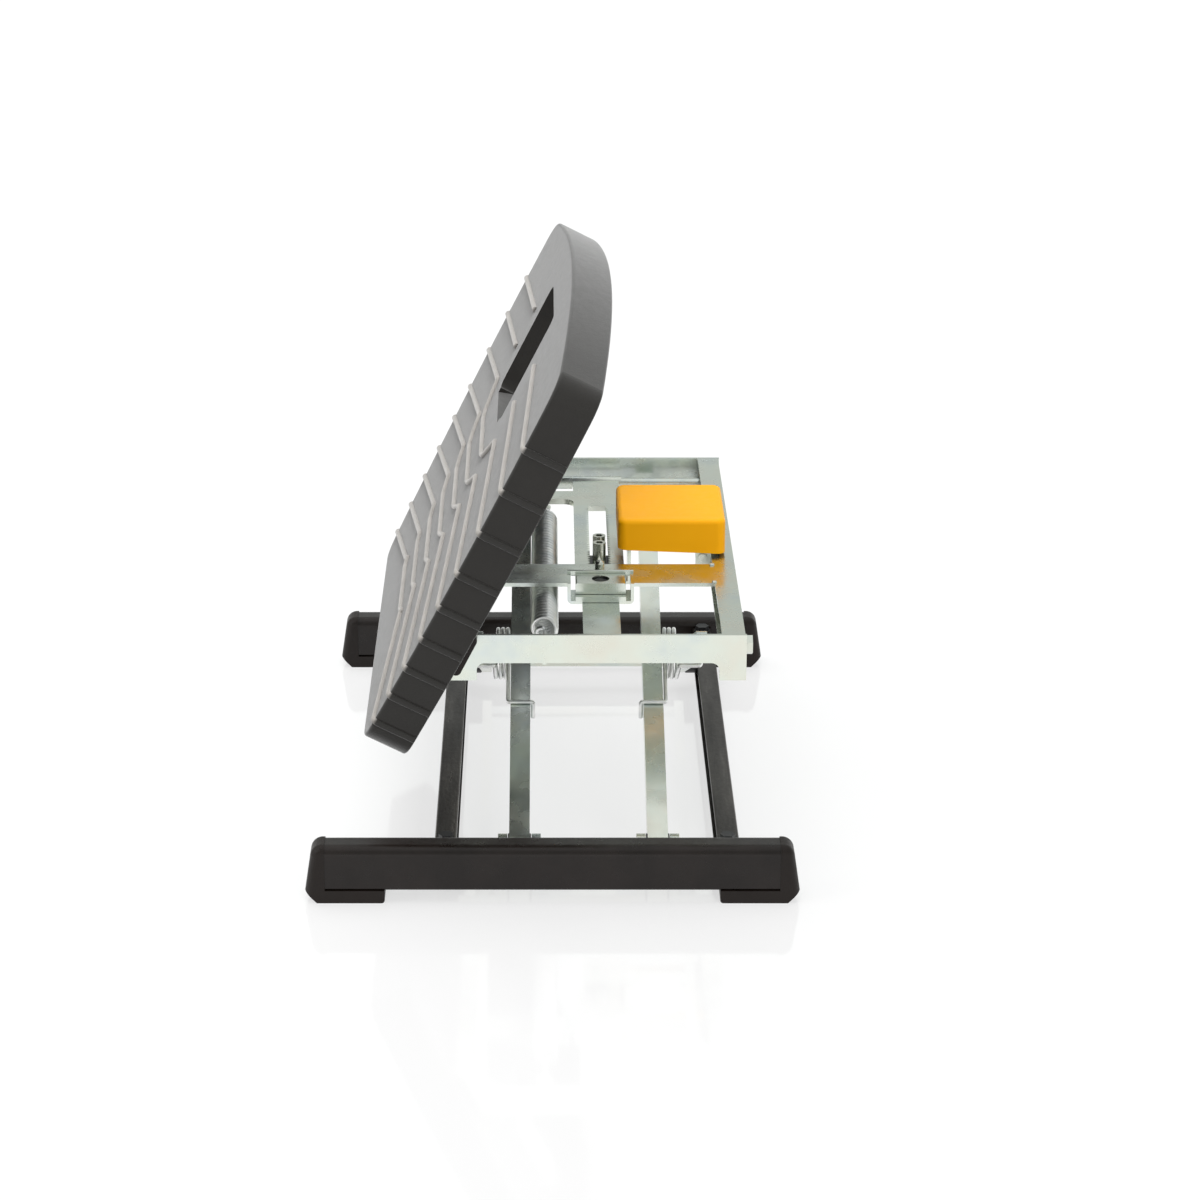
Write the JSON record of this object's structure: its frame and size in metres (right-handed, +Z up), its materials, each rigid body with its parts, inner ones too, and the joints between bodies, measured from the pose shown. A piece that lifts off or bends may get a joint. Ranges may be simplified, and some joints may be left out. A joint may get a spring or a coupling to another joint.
{
  "type": "adjustable foot rest",
  "caption": "Free-standing foot rest: a ribbed board hinged on a scissor frame between two skids tilts, rises and falls, with a pedal that frees a toothed height lock.",
  "frame": {"origin": "middle of the base at floor level, under the overall box", "axes": "+X along the skids, away from the sitting user; +Y across the foot board; +Z up"},
  "size_m": [0.372, 0.5138, 0.4255],
  "materials": {
    "skid_paint": "satin brown-black paint",
    "dark_paint": "satin dark grey-brown paint",
    "black_plastic": "fine-grained black",
    "rubber_pad": "matt",
    "zinc": "bright zinc plate",
    "bright_steel": "plated",
    "spring_steel": "bright drawn wire",
    "black_steel": "matt black",
    "nylon": "black, slightly glossy",
    "yellow_pedal": "satin yellow-orange",
    "board_foam": "matt grey moulded skin"
  },
  "bodies": {
    "base": {"skid_near": "skid_paint", "skid_far": "skid_paint", "end_cap_near_left": "black_plastic", "end_cap_near_right": "black_plastic", "end_cap_far_left": "black_plastic", "end_cap_far_right": "black_plastic", "foot_pads": "rubber_pad", "cross_bar_left": "dark_paint", "cross_bar_right": "dark_paint", "skid_lugs": "dark_paint", "cross_bar_bolts": "black_steel", "lower_pivot_shaft": "bright_steel", "lower_shaft_nuts": "bright_steel", "lower_shaft_collars": "bright_steel"},
    "inner_arms": {"inner_arm_left": "zinc", "inner_arm_right": "zinc", "arm_bushes": "nylon", "centre_pins": "bright_steel", "torsion_spring_left": "spring_steel", "torsion_spring_right": "spring_steel", "slider_rod": "bright_steel", "rod_tube": "bright_steel", "upper_glides": "nylon"},
    "outer_arms": {"outer_arm_left": "zinc", "outer_arm_right": "zinc", "glide_axle": "bright_steel", "lower_glides": "nylon"},
    "lift_frame": {"frame_bar_near": "zinc", "frame_bar_far": "zinc", "frame_side_left": "zinc", "frame_side_right": "zinc", "cross_strip": "zinc", "rack_guide": "zinc", "rack_support": "zinc", "guide_block": "zinc", "guide_plunger": "black_steel", "guide_pin": "bright_steel", "pivot_bolts": "bright_steel", "pivot_sleeves": "bright_steel", "spring_anchor": "zinc", "lift_spring": "spring_steel", "pedal_lugs": "zinc", "pedal_pin": "bright_steel"},
    "rack_slider": {"rack_plate": "zinc", "spring_hook_bolt": "bright_steel"},
    "pedal": {"pedal_pad": "yellow_pedal", "pad_screws": "bright_steel", "pedal_lever": "zinc", "pedal_spring": "spring_steel", "pawl": "black_steel", "pawl_screws": "bright_steel"},
    "board": {"foot_board": "board_foam", "board_plate": "black_steel", "plate_screws": "bright_steel", "hinge_block_near": "black_plastic", "hinge_block_far": "black_plastic", "hinge_pins": "bright_steel", "hinge_screws": "bright_steel"}
  },
  "joints": [
    {"name": "lift", "type": "hinge", "parent": "base", "child": "inner_arms", "pos_m": [0, -0.203, 0.024], "axis": [1, 0, 0], "range_deg": [0, 23.5], "deforming": ["lift_spring"]},
    {"name": "scissor", "type": "hinge", "parent": "inner_arms", "child": "outer_arms", "pos_m": [0, -0.009, 0.10575], "axis": [1, 0, 0], "range_deg": [-47, 0], "deforming": ["torsion_spring_left", "torsion_spring_right"]},
    {"name": "frame_level", "type": "hinge", "parent": "outer_arms", "child": "lift_frame", "pos_m": [0, -0.203, 0.1875], "axis": [1, 0, 0], "range_deg": [0, 23.5]},
    {"name": "rack_level", "type": "hinge", "parent": "inner_arms", "child": "rack_slider", "pos_m": [0, 0.185, 0.1875], "axis": [1, 0, 0], "range_deg": [-23.5, 0]},
    {"name": "board_tilt", "type": "hinge", "parent": "lift_frame", "child": "board", "pos_m": [-0.074, 0, 0.19], "axis": [0, 1, 0], "range_deg": [0, 57.5]},
    {"name": "pedal_press", "type": "hinge", "parent": "lift_frame", "child": "pedal", "pos_m": [0.1195, 0, 0.1955], "axis": [0, -1, 0], "range_deg": [0, 3.5], "stiffness_Nm_per_rad": 10, "springref_deg": -3.44}
  ],
  "couplings": [
    {"joint": "scissor", "follows": "lift", "ratio": -2},
    {"joint": "frame_level", "follows": "lift", "ratio": 1},
    {"joint": "rack_level", "follows": "lift", "ratio": -1}
  ]
}
